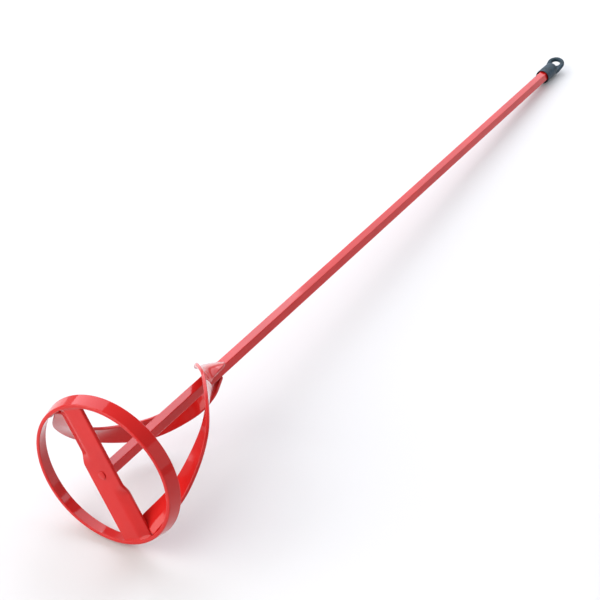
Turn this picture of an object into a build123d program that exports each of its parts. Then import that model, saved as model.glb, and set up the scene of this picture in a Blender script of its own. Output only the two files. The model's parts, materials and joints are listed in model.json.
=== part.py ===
from build123d import *

import math
import os

# Mortar mixing paddle: a hexagonal drive bar with a bottom ring, a pressed crossbar, two helical
# blades that run from the bar down to the ring, their weld beads, and a soft cap with a hanging eye.
# The pieces are built along the bar (+Z, ring's bottom edge at z = 0, crossbar along X) and then laid
# down: bar along +Y, resting on the ring's upper edge and on the cap. Angles are counted from the
# crossbar's first end, around the bar, seen from the chuck end.

# Drive bar
bar_flats = 8.0            # across the flats of the hexagon
bar_length = 600.0         # from the ring's bottom plane to the chuck end
bar_turn = 7.0             # angle of one corner of the hexagon
bar_chamfer = 0.8
spigot_radius = 1.5        # turned end of the bar, peened over under the crossbar
head_radius = 2.3
head_height = 0.7

# Bottom ring, rolled from flat strip and flared a little towards the chuck end
ring_radius = 42.5         # outside, at the bottom edge
ring_height = 8.0
ring_wall = 2.2
ring_flare = 1.8           # how much wider the upper edge is than the bottom edge
ring_round = 0.5           # rounding of its four edges

# Crossbar, a pressed flat bar whose two wings each have one long edge turned up
crossbar_width = 18.4
crossbar_thickness = 2.2
crossbar_inset = 0.8       # its underside stands this far inside the ring's bottom plane
wing_bend_line = 2.5       # from the middle of the bar to the line where the wing turns up
wing_bend_angle = 23.0
wing_start = 7.5           # where the flat middle ends
wing_full = 14.0           # where the wing has its full bend

# Blades, flat strip twisted from the bar out to the ring; the second is the first turned half round
blade_thickness = 2.0
sections_per_span = 3
# Each station has a point of the inner edge and one of the outer edge, as reach, angle and height.
# Reach 0 is the bar's corner, and reach 1 is the ring's outside at its bottom edge.
blade_stations = [
    ((0.10, -115, 110), (0.00, -195, 110)),
    ((0.20, -110, 104), (0.15, -185, 96)),
    ((0.25, -105, 88), (0.40, -145, 86)),
    ((0.55, -100, 72), (0.80, -115, 66)),
    ((0.75, -80, 46), (1.05, -85, 38)),
    ((0.70, -50, 22), (1.00, -55, 16)),
    ((0.70, -5, 9), (0.97, -16, 2.5)),
]
seat_share = 0.93          # share of the blade from which its outer edge is welded to the ring
hub_weld_span = (0.12, 0.62)  # part of the blade's top end that is welded to the bar

# Weld beads
bead_radius = 1.5
seat_bead_inset = 0.3      # from the blade's outer edge to the middle of its bead in the ring
foot_bead = 1.6            # leg of the fillet weld around the bar's foot

# Soft cap with the hanging eye
cap_clearance = 0.1        # on each flat of the bar
cap_wall = 0.67            # over the corners of the socket
cap_grip = 18.0            # length of bar inside the cap
cap_roof = 3.0             # thickness of its closed end
eye_band = 3.2             # width of the eye around its hole
eye_hole_radius = 3.5
eye_thickness = 3.0
eye_rise = 6.8             # from the closed end to the middle of the eye, along the bar
eye_lift = 1.2             # of the middle of the eye, off the bar's middle line
eye_turn = -150.0          # the side of the bar that the eye's face is turned to
eye_tilt = 20.0            # of the eye's tip, up from the bar's line
neck_gap = 0.5             # from the eye's hole back to where the neck starts to thicken

# Resting place
up_turn = -149.0           # the side of the paddle that lies uppermost

# Worked out from the sizes above
bar_corner = bar_flats / math.sqrt(3)
bar_foot = crossbar_inset + crossbar_thickness
socket_flats = bar_flats + 2 * cap_clearance
cap_radius = socket_flats / math.sqrt(3) + cap_wall
cap_mouth = bar_length - cap_grip
cap_top = bar_length + cap_roof
neck_reach = eye_hole_radius + neck_gap
ring_lean = math.atan(ring_flare / ring_height)
corner_loss = ring_round * ((1 + math.sin(ring_lean)) / math.cos(ring_lean) - 1)
rest_drop = ring_radius + ring_flare - corner_loss - cap_radius
rest_tilt = math.degrees(math.atan(rest_drop / (cap_top - ring_height + ring_round)))

stand = (Align.CENTER, Align.CENTER, Align.MIN)


def polar(radius, degrees, height):
    """Point from its radius, its angle around the bar and its height along the bar."""
    angle = math.radians(degrees)
    return Vector(radius * math.cos(angle), radius * math.sin(angle), height)


def half_turn(shape):
    return shape.rotate(Axis.Z, 180)


def hexagon(flats, bottom, top):
    outline = RegularPolygon(flats / 2, 6, major_radius=False, rotation=bar_turn)
    return Pos(0, 0, bottom) * extrude(outline, top - bottom)


def drive_bar():
    """Hexagonal bar, chamfered at the chuck end, with a peened spigot at its foot."""
    chamfer_start = bar_length - bar_chamfer
    envelope = Pos(0, 0, bar_foot) * Cylinder(bar_corner, chamfer_start - bar_foot, align=stand)
    envelope += Pos(0, 0, chamfer_start) * Cone(
        bar_corner, bar_corner - bar_chamfer, bar_chamfer, align=stand)
    bar = hexagon(bar_flats, bar_foot, bar_length) & envelope
    bar += Pos(0, 0, crossbar_inset) * Cylinder(spigot_radius, crossbar_thickness, align=stand)
    return bar + spigot_head()


def spigot_head():
    """Domed head, a slice of a sphere, that the peening leaves under the crossbar."""
    dome_radius = (head_radius ** 2 + head_height ** 2) / (2 * head_height)
    lowest = crossbar_inset - head_height
    ball = Pos(0, 0, lowest + dome_radius) * Sphere(dome_radius)
    return ball & Pos(0, 0, lowest) * Cylinder(dome_radius, head_height, align=stand)


def bottom_ring():
    """Flared ring, turned from the rounded section of its strip."""
    section = Polyline(
        (ring_radius - ring_wall, 0), (ring_radius, 0),
        (ring_radius + ring_flare, ring_height),
        (ring_radius + ring_flare - ring_wall, ring_height), close=True)
    face = make_face(section)
    face = fillet(face.vertices(), ring_round)
    return revolve(Plane.XZ * face, Axis.Z)


def ring_bore():
    """The room inside the ring, which the crossbar's ends are cut to."""
    return Cone(ring_radius - ring_wall, ring_radius - ring_wall + ring_flare, ring_height, align=stand)


def crossbar_section(x, bend_angle):
    """Section across the crossbar at x, with the edge past the bend line turned up."""
    bend = math.radians(bend_angle)
    edge = crossbar_width / 2
    flap = edge - wing_bend_line
    under = crossbar_inset
    over = crossbar_inset + crossbar_thickness
    mitre = crossbar_thickness * math.tan(bend / 2)
    tip = (wing_bend_line + flap * math.cos(bend), under + flap * math.sin(bend))
    tip_over = (tip[0] - crossbar_thickness * math.sin(bend), tip[1] + crossbar_thickness * math.cos(bend))
    outline = [(-edge, under), (wing_bend_line, under), tip, tip_over, (wing_bend_line - mitre, over),
               (-edge, over)]
    return make_face(Polyline(*[Vector(x, y, z) for y, z in outline], close=True))


def crossbar():
    """Flat middle, and two wings that are one shape turned half round, cut to the ring's bore."""
    flat = extrude(crossbar_section(-wing_start, 0), amount=2 * wing_start, dir=(1, 0, 0))
    bent = crossbar_section(-wing_full, wing_bend_angle)
    wing = loft([crossbar_section(-wing_start, 0), bent], ruled=True)
    wing += extrude(bent, amount=ring_radius - wing_full, dir=(-1, 0, 0))
    bar = (flat + wing + half_turn(wing)) & ring_bore()
    return bar - Cylinder(spigot_radius, 4 * crossbar_thickness)


def along(points, share):
    """Point at a share of the way through the points, on a Catmull-Rom curve."""
    place = share * (len(points) - 1)
    span = min(int(place), len(points) - 2)
    t = place - span
    p1, p2 = points[span], points[span + 1]
    p0 = points[span - 1] if span > 0 else p1 * 2 - p2
    p3 = points[span + 2] if span + 2 < len(points) else p2 * 2 - p1
    return (p1 * 2 + (p2 - p0) * t + (p0 * 2 - p1 * 5 + p2 * 4 - p3) * t ** 2
            + (p1 * 3 - p0 - p2 * 3 + p3) * t ** 3) * 0.5


def station_point(reach, degrees, height):
    return polar(bar_corner + reach * (ring_radius - bar_corner), degrees, height)


inner_edge = [station_point(*inner) for inner, outer in blade_stations]
outer_edge = [station_point(*outer) for inner, outer in blade_stations]


def blade_section(share):
    """Rectangle across the strip: its width from edge to edge, its thickness along the normal."""
    step = 0.01
    before, after = max(share - step, 0), min(share + step, 1)
    inner, outer = along(inner_edge, share), along(outer_edge, share)
    run = (along(inner_edge, after) + along(outer_edge, after)
           - along(inner_edge, before) - along(outer_edge, before))
    half = (outer - inner).cross(run).normalized() * (blade_thickness / 2)
    return make_face(Polyline(inner + half, outer + half, outer - half, inner - half, close=True))


def largest(shape):
    return max(shape.solids(), key=lambda solid: solid.volume)


def blade(ring, bar):
    """Twisted strip, coped where it lies on the drive bar, the ring and the crossbar."""
    count = sections_per_span * (len(blade_stations) - 1)
    strip = loft([blade_section(k / count) for k in range(count + 1)])
    return largest(strip - hexagon(bar_flats, bar_foot, bar_length) - ring - bar)


def bead(points, radius=bead_radius):
    """Weld bead: round rods between the points, with a ball at each point."""
    body = Sphere(radius).moved(Location(points[0]))
    for start, end in zip(points, points[1:]):
        body += Plane(origin=start, z_dir=end - start) * Cylinder(radius, (end - start).length, align=stand)
        body += Sphere(radius).moved(Location(end))
    return body


def hub_weld(blade_piece):
    """Bead along the blade's top end, where it lies against the bar."""
    first, last = [inner_edge[0] + (outer_edge[0] - inner_edge[0]) * share for share in hub_weld_span]
    inward = Vector(-(first + last).X, -(first + last).Y, 0).normalized() * (blade_thickness / 2)
    weld = bead([first + inward, last + inward])
    return largest(weld - hexagon(bar_flats, bar_foot, bar_length) - blade_piece)


def seat_weld(blade_piece, ring, bar):
    """Bead along the blade's outer edge, where it lies in the ring."""
    path = []
    for share in (seat_share, (1 + seat_share) / 2, 1):
        inner, outer = along(inner_edge, share), along(outer_edge, share)
        path.append(outer + (inner - outer).normalized() * seat_bead_inset)
    return largest(bead(path) - ring - blade_piece - bar)


def crossbar_weld(ring, bar):
    """Bead on the crossbar's upper side at its first end, along the ring's wall."""
    bend = math.radians(wing_bend_angle)
    edge = crossbar_width / 2
    flap = edge - wing_bend_line
    corner = (-wing_bend_line - (flap - bead_radius) * math.cos(bend), bar_foot + flap * math.sin(bend))
    path = []
    for y, z in [(edge - bead_radius, bar_foot), (0, bar_foot), (-wing_bend_line, bar_foot), corner]:
        wall = ring_radius - ring_wall + ring_flare * z / ring_height
        path.append(Vector(math.sqrt(wall ** 2 - y ** 2), y, z))
    return largest(bead(path) - ring - bar)


def foot_weld():
    """Fillet weld around the bar's foot, on the crossbar."""
    fillet_ring = Pos(0, 0, bar_foot) * Cone(bar_corner + foot_bead, bar_corner, foot_bead, align=stand)
    return fillet_ring - hexagon(bar_flats, bar_foot, bar_length)


def hang_cap():
    """Round cap with a hexagonal socket, a short neck and a flat eye to hang the paddle by."""
    body = Pos(0, 0, cap_mouth) * Cylinder(cap_radius, cap_top - cap_mouth, align=stand)
    tilt = math.radians(eye_tilt)
    outward, endward = polar(1, eye_turn, 0), Vector(0, 0, 1)
    tip_way = endward * math.cos(tilt) + outward * math.sin(tilt)
    face_way = outward * math.cos(tilt) - endward * math.sin(tilt)
    middle = endward * (cap_top + eye_rise) + outward * eye_lift
    neck_plane = Plane(origin=middle - tip_way * neck_reach, x_dir=face_way, z_dir=tip_way)
    neck_top = neck_plane * Ellipse(eye_thickness / 2, cap_radius)
    body += loft([Pos(0, 0, cap_top) * Circle(cap_radius), neck_top])
    eye_plane = Plane(origin=middle, z_dir=face_way)
    body += eye_plane * Cylinder(eye_hole_radius + eye_band, eye_thickness)
    body -= eye_plane * Cylinder(eye_hole_radius, 4 * cap_radius)
    return body - hexagon(socket_flats, cap_mouth, bar_length)


def lay_down(shape):
    """Turn the upper side up, then lay the bar along +Y with its chuck end a little lower."""
    return shape.rotate(Axis.Z, -90 - up_turn).rotate(Axis.X, -90 - rest_tilt)


ring_piece = bottom_ring()
crossbar_piece = crossbar()
blade_a = blade(ring_piece, crossbar_piece)
hub_weld_a = hub_weld(blade_a)
seat_weld_a = seat_weld(blade_a, ring_piece, crossbar_piece)
end_weld_a = crossbar_weld(ring_piece, crossbar_piece)

pieces = {
    "drive_bar": drive_bar(),
    "bottom_ring": ring_piece,
    "crossbar": crossbar_piece,
    "blade_a": blade_a,
    "blade_b": half_turn(blade_a),
    "hub_weld_a": hub_weld_a,
    "hub_weld_b": half_turn(hub_weld_a),
    "seat_weld_a": seat_weld_a,
    "seat_weld_b": half_turn(seat_weld_a),
    "crossbar_weld_a": end_weld_a,
    "crossbar_weld_b": half_turn(end_weld_a),
    "foot_weld": foot_weld(),
    "hang_cap": hang_cap(),
}

# The origin is the middle of the bottom of the laid-down paddle's box
laid = {name: lay_down(shape) for name, shape in pieces.items()}
box = Compound(list(laid.values())).bounding_box()
to_origin = Location((0, -box.center().Y, -box.min.Z))

os.makedirs("parts", exist_ok=True)
for name, shape in laid.items():
    export_step(shape.moved(to_origin), f"parts/{name}.step")
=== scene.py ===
# Mortar mixing paddle, lying on a pale floor: an enamelled steel bar with a ring, a crossbar and two
# twisted blades at one end, and a soft dark cap with a hanging eye on the other.
import bmesh
import bpy
import json
import numpy as np
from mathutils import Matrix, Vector


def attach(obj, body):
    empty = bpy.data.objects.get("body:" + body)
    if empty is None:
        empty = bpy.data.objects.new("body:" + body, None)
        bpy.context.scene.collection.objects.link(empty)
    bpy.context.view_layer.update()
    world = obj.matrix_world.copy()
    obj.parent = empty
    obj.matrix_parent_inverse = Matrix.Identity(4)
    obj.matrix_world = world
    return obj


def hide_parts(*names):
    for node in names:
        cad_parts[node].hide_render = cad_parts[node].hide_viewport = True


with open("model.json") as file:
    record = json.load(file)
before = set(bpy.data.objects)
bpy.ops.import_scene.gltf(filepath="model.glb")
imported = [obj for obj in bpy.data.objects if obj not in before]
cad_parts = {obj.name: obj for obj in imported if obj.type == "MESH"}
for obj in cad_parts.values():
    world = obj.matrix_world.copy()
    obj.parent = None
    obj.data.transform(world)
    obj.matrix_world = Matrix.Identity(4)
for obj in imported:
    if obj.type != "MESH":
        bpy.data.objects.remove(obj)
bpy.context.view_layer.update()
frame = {"record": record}


# ---------------------------------------------------------------- Drive bar
# Cold-drawn hexagonal steel bar, 8 mm across the flats, chamfered where a chuck grips it and fixed to the
# crossbar at its foot. The drawing and the enamel leave its corners slightly round.
bar_length = 600.0
bar_flats = 8.0
bar_corner = bar_flats / np.sqrt(3)
bar_turn = np.radians(7.0)
bar_rounding = 0.55
bar_chamfer = 0.8
bar_foot = 3.0
bar_sunk = 0.5
enamel_thin_colour = (0.47, 0.0085, 0.0075, 1)
enamel_thick_colour = (0.54, 0.012, 0.010, 1)

# Every piece is measured along the bar, in millimetres: heights from the ring's bottom plane towards the
# chuck end, and angles around the bar from the crossbar's first end. The side at this angle lies uppermost
uppermost = np.radians(-149.0)
mounts = {mount["name"]: mount for mount in frame["record"]["mounts"]}
chuck_end = np.array(mounts["shank"]["pos_m"])
bar_way = np.array(mounts["shank"]["axis"])
upward = np.array([0.0, 0.0, 1.0]) - bar_way[2] * bar_way
upward /= np.linalg.norm(upward)
sideways = np.cross(bar_way, upward)
paddle_axes = np.stack([
    np.cos(uppermost) * upward - np.sin(uppermost) * sideways,
    np.sin(uppermost) * upward + np.cos(uppermost) * sideways,
    bar_way,
])
ring_centre = chuck_end - bar_length / 1000 * bar_way


def lay(points):
    """The ring's centre plus each coordinate times its own axis of the paddle, millimetres to metres."""
    return ring_centre + np.asarray(points) @ paddle_axes / 1000


def hexagon_outline(flats, rounding, turn):
    """Each corner is an arc about a centre that lies the rounding's radius inside both flats, and each flat
    has four more points, two of them close to the arcs so that the flat shades flat."""
    corners = turn + np.arange(6) * np.pi / 3
    swing = corners[:, None] + np.linspace(-np.pi / 6, np.pi / 6, 7)
    centre_distance = (flats / 2 - rounding) / np.cos(np.pi / 6)
    centres = centre_distance * np.stack([np.cos(corners), np.sin(corners)], axis=-1)
    arcs = centres[:, None] + rounding * np.stack([np.cos(swing), np.sin(swing)], axis=-1)
    starts, ends = arcs[:, -1], np.roll(arcs, -1, axis=0)[:, 0]
    shares = np.array([0.04, 0.35, 0.65, 0.96])[:, None]
    flat_points = starts[:, None] + shares * (ends - starts)[:, None]
    return np.concatenate([arcs, flat_points], axis=1).reshape(-1, 2)


def chamfered_bar():
    """The hexagon at every height up the bar, drawn in where a cone cuts it. The cone leans 45 degrees: its
    radius is the corner's, less the chamfer, plus the distance left to the chuck end."""
    outline = hexagon_outline(bar_flats, bar_rounding, bar_turn)
    heights = np.concatenate([
        [bar_foot - bar_sunk, bar_foot],
        np.linspace(bar_foot + 3, bar_length - 12, 60),
        bar_length - bar_chamfer * np.array([1.6, 1.05, 0.95, 0.5, 0.05, 0]),
    ])
    cone_radius = np.minimum(bar_corner, bar_corner - bar_chamfer + (bar_length - heights))
    trim = np.minimum(1, cone_radius[:, None] / np.linalg.norm(outline, axis=1))
    rise = np.broadcast_to(heights[:, None, None], trim.shape + (1,))
    return np.concatenate([outline * trim[:, :, None], rise], axis=2)


def skin(grid, loop=False):
    """Closed skin over a grid of points, as its points, its quads and its end faces. Rows follow the piece
    and columns go round its section: each cell is a quad, the last column joins the first, and the end rows
    are closed flat, or joined in a loop."""
    rows, columns = grid.shape[:2]
    index = np.arange(rows * columns).reshape(rows, columns)
    last = index[:1] if loop else index[:0]
    near, far = np.vstack([index, last])[:-1], np.vstack([index, last])[1:]
    quads = np.stack([near, np.roll(near, -1, 1), np.roll(far, -1, 1), far], axis=-1).reshape(-1, 4)
    return grid.reshape(-1, 3), quads, [] if loop else [index[0, ::-1], index[-1]]


def piece(name, skins, material, body, stands_for=(), crease=40.0):
    """One object from closed skins: laid in place, faces turned outwards, smooth but for creases."""
    points, faces, start = [], [], 0
    for skin_points, quads, ends in skins:
        points.append(skin_points)
        faces += (quads + start).tolist() + [(end + start).tolist() for end in ends]
        start += len(skin_points)
    mesh = bpy.data.meshes.new(name)
    mesh.from_pydata(lay(np.concatenate(points)).tolist(), [], faces)
    shell = bmesh.new()
    shell.from_mesh(mesh)
    bmesh.ops.recalc_face_normals(shell, faces=shell.faces)
    shell.to_mesh(mesh)
    shell.free()
    mesh.shade_smooth()
    mesh.set_sharp_from_angle(angle=np.radians(crease))
    mesh.materials.append(material)
    made = bpy.data.objects.new(name, mesh)
    bpy.context.scene.collection.objects.link(made)
    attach(made, body)
    if stands_for:
        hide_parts(*stands_for)
    return made


def new_material(name):
    """An empty node material; returns it with its nodes, its links and its surface shader."""
    material = bpy.data.materials.new(name)
    material.use_nodes = True
    nodes, links = material.node_tree.nodes, material.node_tree.links
    return material, nodes, links, nodes["Principled BSDF"]


def noise(nodes, links, place, scale, detail=2.0):
    """Noise over the Object coordinates: `scale` waves to the metre."""
    texture = nodes.new("ShaderNodeTexNoise")
    texture.inputs["Scale"].default_value = scale
    texture.inputs["Detail"].default_value = detail
    texture.inputs["Roughness"].default_value = 0.5
    links.new(place.outputs["Object"], texture.inputs["Vector"])
    return texture.outputs["Fac"]


def two_tones(nodes, links, source, spacing, first_colour, second_colour):
    """Colour that runs from the first to the second over the middle of a noise's range, `spacing` wide."""
    tone = nodes.new("ShaderNodeValToRGB")
    for element, position, colour in zip(tone.color_ramp.elements, (0.5 - spacing / 2, 0.5 + spacing / 2),
                                         (first_colour, second_colour)):
        element.position = position
        element.color = colour
    links.new(source, tone.inputs["Fac"])
    return tone.outputs["Color"]


def spread(nodes, links, source, low, high):
    """Maps the middle of a noise's range to low..high."""
    ranged = nodes.new("ShaderNodeMapRange")
    ranged.inputs["From Min"].default_value = 0.3
    ranged.inputs["From Max"].default_value = 0.7
    ranged.inputs["To Min"].default_value = low
    ranged.inputs["To Max"].default_value = high
    links.new(source, ranged.inputs["Value"])
    return ranged.outputs["Result"]


def bump(nodes, links, height, distance, below=None):
    """Bump of a height in metres, laid over the bump below it."""
    relief = nodes.new("ShaderNodeBump")
    relief.inputs["Distance"].default_value = distance
    relief.inputs["Strength"].default_value = 1.0
    links.new(height, relief.inputs["Height"])
    if below is not None:
        links.new(below, relief.inputs["Normal"])
    return relief.outputs["Normal"]


def red_enamel():
    """Sprayed red enamel: its tone drifts over a few centimetres where the coat is thicker or thinner, and
    its gloss carries a long flow wave and a fine orange peel."""
    material, nodes, links, shader = new_material("red_enamel")
    place = nodes.new("ShaderNodeTexCoord")
    coat = noise(nodes, links, place, 35, detail=4)
    links.new(two_tones(nodes, links, coat, 0.36, enamel_thin_colour, enamel_thick_colour),
              shader.inputs["Base Color"])
    dull = spread(nodes, links, noise(nodes, links, place, 160, detail=3), 0.30, 0.42)
    links.new(dull, shader.inputs["Roughness"])
    flow = bump(nodes, links, noise(nodes, links, place, 110, detail=1), 0.00004)
    peel = bump(nodes, links, noise(nodes, links, place, 900), 0.000003, below=flow)
    links.new(peel, shader.inputs["Normal"])
    links.new(peel, shader.inputs["Coat Normal"])
    shader.inputs["IOR"].default_value = 1.4
    shader.inputs["Specular IOR Level"].default_value = 0.08
    shader.inputs["Coat Weight"].default_value = 1.0
    shader.inputs["Coat Roughness"].default_value = 0.06
    shader.inputs["Coat IOR"].default_value = 1.34
    return material


enamel = red_enamel()
piece("drive_bar_enamelled", [skin(chamfered_bar())], enamel, "paddle", ["drive_bar"],
      crease=25)


# ---------------------------------------------------------------- Bottom ring
# Steel strip rolled into a ring, a little wider at its upper edge, so that its band leans outwards. Its
# four edges are rounded by the rolling and the enamel, and it is a quarter of a millimetre out of round.
ring_radius = 42.5
ring_height = 8.0
ring_wall = 2.2
ring_flare = 1.8
ring_rounding = 0.55
ring_oval = 0.12
ring_waver = 0.05


def polar(radius, angle, height):
    """Points from their radius, their angle around the bar and their height along it."""
    return np.stack(np.broadcast_arrays(radius * np.cos(angle), radius * np.sin(angle), height), axis=-1)


def strip_outline(thickness, rounding, across=6):
    """Section of a flat strip as three rows: where each point is anchored across the width (-1 to 1), its
    offset along the width and its offset along the thickness. Corners are arcs, and `across` points lie
    along the middle of each flat, with one more close to each arc."""
    turn = np.linspace(0, np.pi / 2, 5)
    corners = [(1, 1, turn), (-1, 1, turn + np.pi / 2), (-1, -1, turn + np.pi), (1, -1, turn + 1.5 * np.pi)]
    rows = []
    for side, face, arc in corners:
        rows.append([np.full(arc.size, side), rounding * np.cos(arc),
                     face * (thickness / 2 - rounding) + rounding * np.sin(arc)])
        if side == face:
            inner = np.concatenate([[0.985], np.linspace(0.8, -0.8, across), [-0.985]]) * side
            rows.append([inner, np.zeros(inner.size), np.full(inner.size, face * thickness / 2)])
    return np.concatenate(rows, axis=1)


def flared_band():
    """The strip's section at every angle around the ring. A point's radius is its place in the wall, plus
    the flare's share of its height, less two slight waves around the ring, of two and of five crests."""
    anchor, off_width, off_wall = strip_outline(ring_wall, ring_rounding)
    height = ring_height / 2 + anchor * (ring_height / 2 - ring_rounding) + off_width
    radius = ring_radius - ring_wall / 2 + off_wall + ring_flare * height / ring_height
    around = np.linspace(0, 2 * np.pi, 288, endpoint=False)[:, None]
    out_of_round = ring_oval * (np.cos(2 * around + 0.6) - 1) + ring_waver * (np.cos(5 * around) - 1)
    return polar(radius + out_of_round, around, height)


piece("bottom_ring_enamelled", [skin(flared_band(), loop=True)], enamel, "paddle",
      ["bottom_ring"])


# ---------------------------------------------------------------- Crossbar
# Pressed steel flat across the ring. One long edge of each half is turned up towards the bar, on opposite
# sides, and its ends are cut to the ring's bore and welded.
crossbar_width = 18.4
crossbar_thickness = 2.2
crossbar_rounding = 0.7
crossbar_inset = 0.8
bend_line = 2.5
bend_radius = 3.0
bend_angle = np.radians(23.0)
bend_starts = 7.0
bend_full = 14.5
bore_radius = ring_radius - ring_wall
end_melted_in = 0.3


def ease(value):
    """Smooth step: 3 v squared minus 2 v cubed, held at 0 and 1 outside that range."""
    held = np.clip(value, 0, 1)
    return held * held * (3 - 2 * held)


def pressed_half(length_share):
    """The half of the crossbar away from its first end, from its middle (share 0) to the ring (share 1).
    Across the width the middle line starts flat and turns up past the bend line: its slope eases from 0 to
    the bend angle over the bend's arc, and the line is the running sum of its slope. The section stands on
    that line, square to it."""
    anchor, off_width, off_face = strip_outline(crossbar_thickness, crossbar_rounding, across=26)
    across = anchor * (crossbar_width / 2 - crossbar_rounding) + off_width
    reach = length_share * (bore_radius + end_melted_in)
    turned = bend_angle * ease((reach - bend_starts) / (bend_full - bend_starts))
    fine = np.linspace(-crossbar_width / 2, crossbar_width / 2, 400)
    slope = turned[:, None] * ease((fine - bend_line + bend_radius / 2) / bend_radius)
    step = fine[1] - fine[0]
    line_y = np.cumsum(np.cos(slope), axis=1) * step
    line_z = np.cumsum(np.sin(slope), axis=1) * step
    line_y -= line_y[:, :1] + crossbar_width / 2
    line_z -= line_z[:, :1]
    at = np.clip((across + crossbar_width / 2) / step, 0, fine.size - 1).astype(int)
    lean = slope[:, at]
    y = line_y[:, at] - off_face * np.sin(lean)
    z = line_z[:, at] + off_face * np.cos(lean) + crossbar_inset + crossbar_thickness / 2
    bore = bore_radius + end_melted_in + ring_flare * z / ring_height
    x = length_share[:, None] * np.sqrt(bore ** 2 - y ** 2)
    return np.stack([-x, y, z], axis=-1)


def whole_crossbar():
    """One pressed half, its rows reversed, and the same half turned half round. A section that starts at one
    long edge ends at the other after half a turn, so each point takes the nearest one's column."""
    half = pressed_half(np.concatenate([np.linspace(0, 0.4, 40), np.linspace(0.42, 1, 30)]))
    other_half = half * [-1, -1, 1]
    apart = np.linalg.norm(half[0][:, None, 1:] - other_half[0][None, :, 1:], axis=2)
    return np.concatenate([half[::-1], other_half[1:, np.argmin(apart, axis=1)]])


piece("crossbar_enamelled", [skin(whole_crossbar())], enamel, "paddle", ["crossbar"])


# ---------------------------------------------------------------- Peened end of the bar
# The bar's foot is turned down to a spigot, put through the crossbar and peened over. Its domed head is the
# small bump in the middle of the crossbar, a little uneven from the hammer.
head_radius = 2.3
head_height = 0.75
head_foot_radius = 1.6
head_sunk = 0.1


def peened_dome():
    """Rings of points from the head's foot (share 0) to its top (share 1). The radius grows by a sine from
    the foot's to the head's over the first third, then falls by a cosine nearly to nothing. The height rises
    by a sine, from a little inside the crossbar, and waves of three and five crests run round the head."""
    turn = np.linspace(0, 2 * np.pi, 56, endpoint=False)
    share = np.linspace(0, 1, 22)[:, None]
    swelling = np.sin(np.clip(share * 3, 0, 1) * np.pi / 2)
    swollen = head_foot_radius + (head_radius - head_foot_radius) * swelling
    domed = np.cos(np.clip(share * 1.5 - 0.5, 0, 1) * np.pi / 2 * 0.98)
    rise = head_height * np.sin(share * np.pi / 2) - head_sunk * (1 - share)
    uneven = 1 + 0.05 * np.cos(3 * turn + 1) + 0.03 * np.cos(5 * turn)
    return polar(swollen * domed * uneven, turn, crossbar_inset - rise)


piece("peened_head", [skin(peened_dome())], enamel, "paddle")


# ---------------------------------------------------------------- Blades
# Two flat steel strips, one shape turned half round. Each is welded across the bar at its top, leaves it
# edge-on, swings out past the ring's rim and twists down to a rounded end inside the ring.
blade_thickness = 2.0
blade_rounding = 0.6
end_rounding = 1.8
end_narrowing = 0.8
end_thinning = 0.8
end_edge_share = 0.12
# A point of the inner edge and one of the outer edge at each station, as reach, angle in degrees and
# height: reach 0 is the bar's corner, and reach 1 is the ring's outside at its bottom edge
blade_stations = np.array([
    [(0.10, -115, 110), (0.00, -195, 110)],
    [(0.20, -110, 104), (0.15, -185, 96)],
    [(0.25, -105, 88), (0.40, -145, 86)],
    [(0.55, -100, 72), (0.80, -115, 66)],
    [(0.75, -80, 46), (1.05, -85, 38)],
    [(0.70, -50, 22), (1.00, -55, 16)],
    [(0.70, -5, 9), (0.97, -16, 2.5)],
])
station_radius = bar_corner + blade_stations[:, :, 0] * (ring_radius - bar_corner)
station_points = polar(station_radius, np.radians(blade_stations[:, :, 1]), blade_stations[:, :, 2])


def along(points, shares):
    """Catmull-Rom curve through the points: each span is the cubic that leaves and meets its two points
    along the chord of their neighbours, and the ends carry on straight."""
    padded = np.concatenate([2 * points[:1] - points[1:2], points, 2 * points[-1:] - points[-2:-1]])
    place = np.asarray(shares) * (len(points) - 1)
    span = np.clip(place.astype(int), 0, len(points) - 2)
    t = (place - span)[:, None]
    p0, p1, p2, p3 = (padded[span + k] for k in range(4))
    return (2 * p1 + (p2 - p0) * t + (2 * p0 - 5 * p1 + 4 * p2 - p3) * t ** 2
            + (3 * p1 - p0 - 3 * p2 + p3) * t ** 3) / 2


def unit(vectors):
    """Each vector divided by its own length."""
    return vectors / np.linalg.norm(vectors, axis=-1, keepdims=True)


def blade_frame(shares):
    """Inner edge, outer edge, way across and the strip's normal at each share of the blade's length. The
    normal is square to the way across and to the run of both edges."""
    inner, outer = along(station_points[:, 0], shares), along(station_points[:, 1], shares)
    before, after = np.clip(shares - 0.01, 0, 1), np.clip(shares + 0.01, 0, 1)
    run = sum(along(station_points[:, k], after) - along(station_points[:, k], before) for k in (0, 1))
    return inner, outer, unit(outer - inner), unit(np.cross(outer - inner, run))


def twisted_strip():
    """The strip's section at each share of the blade's length, between its two edges and square to both. Its
    lower end narrows along a quarter circle, and at both ends the thickness falls by a circle's arc."""
    shares = np.concatenate([[0, 0.0006, 0.0015, 0.003], np.linspace(0.006, 0.994, 190),
                             [0.997, 0.9985, 0.9994, 1]])
    inner, outer, way_across, normal = blade_frame(shares)
    middle = (inner + outer) / 2
    travelled = np.concatenate([[0], np.cumsum(np.linalg.norm(np.diff(middle, axis=0), axis=1))])
    from_end = np.minimum(travelled, travelled[-1] - travelled)
    corner = np.clip(end_rounding - (travelled[-1] - travelled), 0, end_rounding)
    narrowed = end_rounding - np.sqrt(end_rounding ** 2 - corner ** 2)
    edge_fade = np.sqrt(1 - (1 - np.clip(from_end / end_thinning, end_edge_share, 1)) ** 2)
    half_width = np.linalg.norm(outer - inner, axis=1) / 2 - narrowed * end_narrowing
    anchor, off_width, off_face = strip_outline(blade_thickness, blade_rounding, across=10)
    across = anchor * (half_width[:, None] - blade_rounding) + off_width
    return (middle[:, None] + across[:, :, None] * way_across[:, None]
            + (off_face * edge_fade[:, None])[:, :, None] * normal[:, None])


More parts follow.
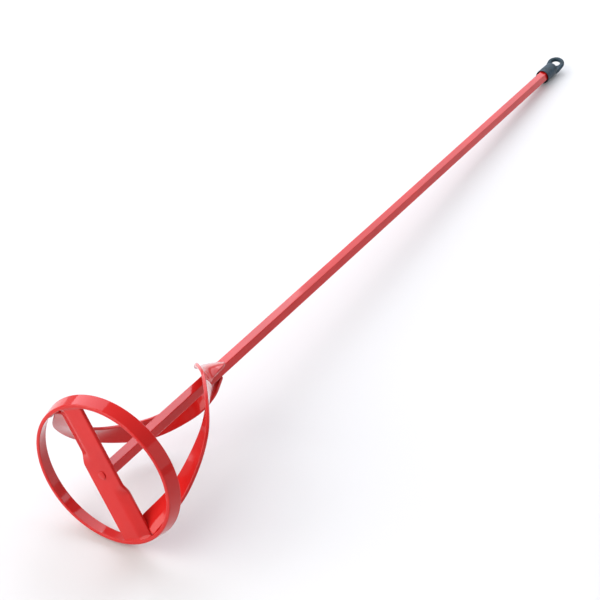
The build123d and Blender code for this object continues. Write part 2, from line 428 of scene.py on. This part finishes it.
blade_grid = twisted_strip()
for suffix, turned in (("a", [1, 1, 1]), ("b", [-1, -1, 1])):
    piece(f"blade_{suffix}_enamelled", [skin(blade_grid * turned)], enamel, "paddle",
          [f"blade_{suffix}"])


# ---------------------------------------------------------------- Welds
# Fillet welds under the enamel: around the bar's foot, at both ends of the crossbar, in the ring at the
# blades' lower ends, and across the blades' tops. Each is a low rippled bead that runs out into its plates.
weld_pitch = 1.9
foot_leg = 1.7
foot_rounding = 1.2
crossbar_upper_leg = 2.0
crossbar_upper_reach = 8.6
crossbar_under_leg = 2.2
crossbar_under_reach = 9.3
crossbar_under_bulge = 0.12
under_rim_margin = 0.1
seat_leg = 1.5
seat_span = (0.925, 0.995)
hub_span = (0.12, 0.90)
hub_bead_out = 0.8
hub_bead_high = 1.2
hub_bead_rise = 0.5
hub_bead_radius = 5.0


def fillet_weld(corner, way_a, way_b, leg_a, leg_b, bulge=0.18, loop=False):
    """Weld along a corner line. Across it, a quadratic curve leaves plate a and meets plate b, raised by a
    bulge that is a squared sine and grows and shrinks by a sine along the weld. It closes behind the
    corner, and its legs shrink to nothing at both ends unless it is a loop."""
    length = np.concatenate([[0], np.cumsum(np.linalg.norm(np.diff(corner, axis=0), axis=1))])
    part = length / length[-1]
    taper = np.ones_like(part) if loop else np.sqrt(np.clip(1 - np.abs(2 * part - 1) ** 5, 0.0004, 1))
    s = np.linspace(0, 1, 13)[None, :, None]
    leg_a, leg_b = (np.broadcast_to(leg, part.shape) * taper for leg in (leg_a, leg_b))
    crescent = length[:, None] - 0.8 * np.cos(np.pi * (s[..., 0] - 0.5))
    ripple = 1 + 0.35 * np.sin(2 * np.pi * crescent / weld_pitch)
    lift = bulge * np.minimum(leg_a, leg_b)[:, None] * ripple * np.sin(np.pi * s[..., 0]) ** 2
    outward = unit(way_a + way_b)
    front = (corner[:, None] + (leg_a[:, None, None] * (1 - s) ** 2) * way_a[:, None]
             + (leg_b[:, None, None] * s ** 2) * way_b[:, None] + lift[..., None] * outward[:, None]
             - 0.06 * ((1 - s) ** 2 * way_b[:, None] + s ** 2 * way_a[:, None]))
    back = corner[:, None] - 0.3 * (leg_a + leg_b)[:, None, None] * outward[:, None]
    return skin(np.concatenate([front, back], axis=1), loop)


foot_outline = hexagon_outline(bar_flats, foot_rounding, bar_turn)
foot_corner = np.concatenate([foot_outline, np.full((len(foot_outline), 1), bar_foot)], axis=1)
foot_way = unit(foot_corner * [1, 1, 0])
rising = np.broadcast_to([0.0, 0.0, 1.0], foot_way.shape)
piece("foot_weld_bead", [fillet_weld(foot_corner, foot_way, rising, foot_leg, foot_leg, loop=True)],
      enamel, "paddle", ["foot_weld"])


def wall_radius(height):
    """Radius of the ring's bore: the bore at its bottom edge plus the flare's share of the height."""
    return bore_radius + ring_flare * height / ring_height


def crossbar_end(face, side_reach):
    """Corner line between one face of the crossbar's first end and the ring's wall: the face's own points
    at the end, pushed out to the wall. `face` is 1 for the upper face and -1 for the under face."""
    y = np.linspace(side_reach, -side_reach, 60)
    turned_up = np.clip(-y - bend_line, 0, None)
    z = (crossbar_inset + crossbar_thickness / 2 + turned_up * np.tan(bend_angle)
         + face * crossbar_thickness / 2 / np.where(turned_up > 0, np.cos(bend_angle), 1))
    wall = wall_radius(z)
    corner = np.stack([np.sqrt(wall ** 2 - y ** 2), y, z], axis=-1)
    inward = unit(-corner * [1, 1, 0])
    slope = np.where(turned_up > 0, np.tan(bend_angle), 0.0)
    way_in = unit(np.stack([inward[:, 0], inward[:, 1], -inward[:, 1] * slope], axis=-1))
    return corner, way_in, np.broadcast_to([0.0, 0.0, float(face)], corner.shape)


upper_corner, upper_in, upper_rise = crossbar_end(1, crossbar_upper_reach)
under_corner, under_in, under_drop = crossbar_end(-1, crossbar_under_reach)
# The under bead stays inside the ring, so its leg on the wall is cut to the height left above the rim
wall_leg = np.clip(under_corner[:, 2] - under_rim_margin, 0.3, 1.8)
for suffix, turned in (("a", 1), ("b", -1)):
    flip = np.array([turned, turned, 1])
    piece(f"crossbar_weld_{suffix}_bead", [
        fillet_weld(upper_corner * flip, upper_in * flip, upper_rise,
                    crossbar_upper_leg, crossbar_upper_leg),
        fillet_weld(under_corner * flip, under_in * flip, under_drop, crossbar_under_leg, wall_leg,
                    bulge=crossbar_under_bulge),
    ], enamel, "paddle", [f"crossbar_weld_{suffix}"])


def seat_bead(face, flip):
    """Weld between one face of the blade's lower end and the ring's wall, along the blade's outer edge,
    moved half the strip's thickness to that face and then out to the wall."""
    _, outer, way_across, normal = blade_frame(np.linspace(*seat_span, 40))
    line = outer + face * normal * blade_thickness / 2
    line = polar(wall_radius(line[:, 2]), np.arctan2(line[:, 1], line[:, 0]), line[:, 2])
    wall_out = unit(line * [1, 1, 0])
    way_wall = face * normal
    way_wall = unit(way_wall - (way_wall * wall_out).sum(1, keepdims=True) * wall_out)
    return fillet_weld(line * flip, -way_across * flip, way_wall * flip, seat_leg, seat_leg)


for suffix, turned in (("a", 1), ("b", -1)):
    flip = np.array([turned, turned, 1])
    piece(f"seat_weld_{suffix}_bead", [seat_bead(face, flip) for face in (1, -1)], enamel, "paddle",
          [f"seat_weld_{suffix}"])


def hub_bead():
    """Bead across the blade's top end: an ellipse carried along the line where the end meets the bar. Its
    size falls to nothing at both ends by a fourth power and carries the ripples of the weld."""
    share = np.linspace(*hub_span, 60)[:, None]
    edge = station_points[0, 0] + share * (station_points[0, 1] - station_points[0, 0])
    distance = np.linalg.norm(edge[:, :2], axis=1, keepdims=True)
    pulled_in = np.tile(np.minimum(distance, hub_bead_radius) / distance, 2)
    line = edge * np.concatenate([pulled_in, np.ones_like(share)], axis=1) + [0, 0, hub_bead_rise]
    out = unit(line * [1, 1, 0])
    up = np.broadcast_to([0.0, 0.0, 1.0], out.shape)
    turn = np.linspace(0, 2 * np.pi, 24, endpoint=False)
    place = (share - share[0]) / (share[-1] - share[0])
    length = np.linalg.norm(line[-1] - line[0])
    swell = (np.sqrt(np.clip(1 - np.abs(2 * place - 1) ** 4, 0.002, 1))
             * (1 + 0.14 * np.sin(2 * np.pi * place * length / weld_pitch)))
    return (line[:, None] + (hub_bead_out * swell * np.cos(turn))[:, :, None] * out[:, None]
            + (hub_bead_high * swell * np.sin(turn))[:, :, None] * up[:, None])


hub_grid = hub_bead()
for suffix, turned in (("a", [1, 1, 1]), ("b", [-1, -1, 1])):
    piece(f"hub_weld_{suffix}_bead", [skin(hub_grid * turned)], enamel, "paddle",
          [f"hub_weld_{suffix}"])


# ---------------------------------------------------------------- Hanging cap
# Soft plastic cap, moulded in one: a round body pulled over the chuck end, a domed closed end, and a flat
# eye whose sides run down the body. Its mouth has a thin lip and opens a little inside, to lead the bar in.
cap_radius = 5.404
cap_grip = 18.0
cap_mouth = bar_length - cap_grip
cap_end = bar_length + 4.0
dome_height = 5.2
socket_radius = 4.75
socket_gap = 0.25
lip_radius = 0.2
eye_height = bar_length + 9.8
eye_lift = 1.2
eye_tilt = np.radians(20.0)
eye_turn = np.radians(-150.0)
eye_hole_radius = 3.5
eye_band = 3.2
eye_thickness = 2.9
eye_rounding = 0.9
eye_legs = 12.5
eye_leg_taper = 0.14
plastic_dark_colour = (0.008, 0.024, 0.034, 1)
plastic_light_colour = (0.018, 0.046, 0.072, 1)


def soft_plastic():
    """Dark blue-grey soft plastic, satin, with a fine moulded grain and a slow drift in tone and gloss."""
    material, nodes, links, shader = new_material("soft_plastic")
    place = nodes.new("ShaderNodeTexCoord")
    drift = noise(nodes, links, place, 180, detail=3)
    links.new(two_tones(nodes, links, drift, 0.30, plastic_dark_colour, plastic_light_colour),
              shader.inputs["Base Color"])
    satin = spread(nodes, links, noise(nodes, links, place, 420, detail=3), 0.36, 0.50)
    links.new(satin, shader.inputs["Roughness"])
    grain = bump(nodes, links, noise(nodes, links, place, 2600), 0.00003)
    links.new(grain, shader.inputs["Normal"])
    shader.inputs["IOR"].default_value = 1.4
    shader.inputs["Specular IOR Level"].default_value = 0.28
    return material


def cap_body():
    """A profile turned about the bar: the socket's floor and wall, the lead-in, half a circle round the
    lip, the outside, and a dome whose radius falls as a cosine to the power 0.85 as its height rises as a
    sine."""
    lip = np.linspace(0.15, np.pi - 0.2, 9)
    dome = np.linspace(0, np.pi / 2 * 0.97, 20)
    socket_floor = bar_length + socket_gap
    profile = np.concatenate([
        [(0.4, socket_floor), (socket_radius - 0.6, socket_floor), (socket_radius, bar_length - 0.4)],
        [(socket_radius, cap_mouth + 6), (socket_radius, cap_mouth + 4)],
        [(socket_radius + 0.3, cap_mouth + 2.4)],
        np.stack([cap_radius - lip_radius - lip_radius * np.cos(lip),
                  cap_mouth + 0.22 - lip_radius * np.sin(lip)], 1),
        [(cap_radius, cap_mouth + 0.5), (cap_radius, cap_mouth + 4), (cap_radius - 0.05, cap_mouth + 12)],
        np.stack([(cap_radius - 0.1) * np.cos(dome) ** 0.85,
                  cap_end - dome_height + dome_height * np.sin(dome)], 1),
    ])
    around = np.linspace(0, 2 * np.pi, 120, endpoint=False)
    return polar(profile[:, :1], around, profile[:, 1:])


def hanging_eye():
    """The band's section at every angle around the hole. Its outside is a circle, and on the body's side a
    squarish curve of the fifth power that makes the legs. The middle line is the running sum of its slope,
    which eases from 0 on the body to the eye's tilt, and the section stands on that line, square to it."""
    around = np.linspace(0, 2 * np.pi, 180, endpoint=False)
    wide = eye_hole_radius + eye_band
    outside = np.where(
        np.sin(around) < 0,
        (np.abs(np.cos(around) / wide) ** 5 + np.abs(np.sin(around) / eye_legs) ** 5) ** (-1 / 5),
        wide)
    anchor, off_width, off_face = strip_outline(eye_thickness, eye_rounding)
    band_half = (outside - eye_hole_radius) / 2
    band_middle = (eye_hole_radius + band_half)[:, None]
    radius = band_middle + anchor * (band_half[:, None] - eye_rounding) + off_width
    along_bar = radius * np.sin(around)[:, None]
    across = radius * np.cos(around)[:, None] * (1 - eye_leg_taper * ease(-along_bar / 9))
    fine = np.linspace(-eye_legs - 1, wide + 1, 400)
    bend_from, bend_to = 5.0, 10.0        # behind the hole's middle
    slope = eye_tilt * ease((fine + bend_to) / (bend_to - bend_from))
    step = fine[1] - fine[0]
    line_z, line_up = np.cumsum(np.cos(slope)) * step, np.cumsum(np.sin(slope)) * step
    line_z -= np.interp(0, fine, line_z)
    line_up -= np.interp(0, fine, line_up)
    tilt = np.interp(along_bar, fine, slope)
    z = eye_height + np.interp(along_bar, fine, line_z) - off_face * np.sin(tilt)
    up = eye_lift + np.interp(along_bar, fine, line_up) + off_face * np.cos(tilt)
    return (across[:, :, None] * polar(1.0, eye_turn + np.pi / 2, 0.0)
            + up[:, :, None] * polar(1.0, eye_turn, 0.0) + z[:, :, None] * np.array([0.0, 0.0, 1.0]))


cap = piece("hang_cap_moulded", [skin(cap_body()), skin(hanging_eye(), loop=True)], soft_plastic(), "cap",
            ["hang_cap"])
remesh = cap.modifiers.new("moulded_in_one", "REMESH")
remesh.mode = "VOXEL"
remesh.voxel_size = 0.00022
remesh.use_smooth_shade = True
soften = cap.modifiers.new("soft_corners", "SMOOTH")
soften.factor = 0.5
soften.iterations = 6


# ---------------------------------------------------------------- Floor
# A wide studio floor, painted a pale matt grey, with no edge in view.
floor_radius = 30
floor_sides = 96
floor_mesh = bpy.data.meshes.new("floor")
floor_turn = np.linspace(0, 2 * np.pi, floor_sides, endpoint=False)
floor_mesh.from_pydata(polar(floor_radius, floor_turn, 0.0).tolist(), [], [list(range(floor_sides))])
floor_material, _, _, floor_shader = new_material("pale_floor")
floor_shader.inputs["Base Color"].default_value = (0.68, 0.68, 0.68, 1)
floor_shader.inputs["Roughness"].default_value = 0.7
floor_shader.inputs["Specular IOR Level"].default_value = 0.15
floor_mesh.materials.append(floor_material)
floor = bpy.data.objects.new("floor", floor_mesh)
bpy.context.scene.collection.objects.link(floor)


# ---------------------------------------------------------------- Light
# Four large softboxes above the paddle: one behind it, one behind to the left, a warm one in front to the
# left and a weak one to the right. A pale room fills the shadows.
cool_white = (0.95, 0.98, 1.08)
warm_white = (1.0, 0.98, 0.95)


def softbox(name, place, target, width, height, power, colour=(1, 1, 1)):
    """A rectangular lamp at `place`, `width` by `height` metres, that faces `target`."""
    light = bpy.data.lights.new(name, "AREA")
    light.shape = "RECTANGLE"
    light.size, light.size_y = width, height
    light.energy = power
    light.color = colour
    holder = bpy.data.objects.new(name, light)
    holder.location = place
    holder.rotation_mode = "QUATERNION"
    holder.rotation_quaternion = (Vector(target) - Vector(place)).to_track_quat("-Z", "Y")
    bpy.context.scene.collection.objects.link(holder)


softbox("back_softbox", (0.10, 1.63, 1.47), (0, 0, 0), 2.5, 2.3, 34, cool_white)
softbox("back_left_softbox", (-1.47, 0.92, 1.35), (0, 0, 0), 2.4, 1.9, 38, cool_white)
softbox("front_softbox", (-1.08, -1.88, 1.25), (0, -0.2, 0), 3.0, 2.5, 80, warm_white)
softbox("right_softbox", (2.2, -0.4, 1.1), (0, 0, 0), 2.2, 1.5, 10)

world = bpy.data.worlds.new("studio")
world.use_nodes = True
world.node_tree.nodes["Background"].inputs["Color"].default_value = (1, 1, 1, 1)
world.node_tree.nodes["Background"].inputs["Strength"].default_value = 0.35
bpy.context.scene.world = world
bpy.context.scene.view_settings.view_transform = "Standard"


# ---------------------------------------------------------------- Camera
# Above and in front of the ring, a little to the right, looking along the bar, held level.
camera_azimuth = np.radians(30.44)
camera_elevation = np.radians(36.49)
camera = bpy.data.cameras.new("camera")
camera.sensor_width = 36
camera.lens = 91.3
camera.clip_start, camera.clip_end = 0.05, 100
viewer = bpy.data.objects.new("camera", camera)
viewer.location = (0.3794, -0.7504, 0.5826)
viewer.rotation_euler = (np.pi / 2 - camera_elevation, 0, camera_azimuth)
bpy.context.scene.collection.objects.link(viewer)
bpy.context.scene.camera = viewer
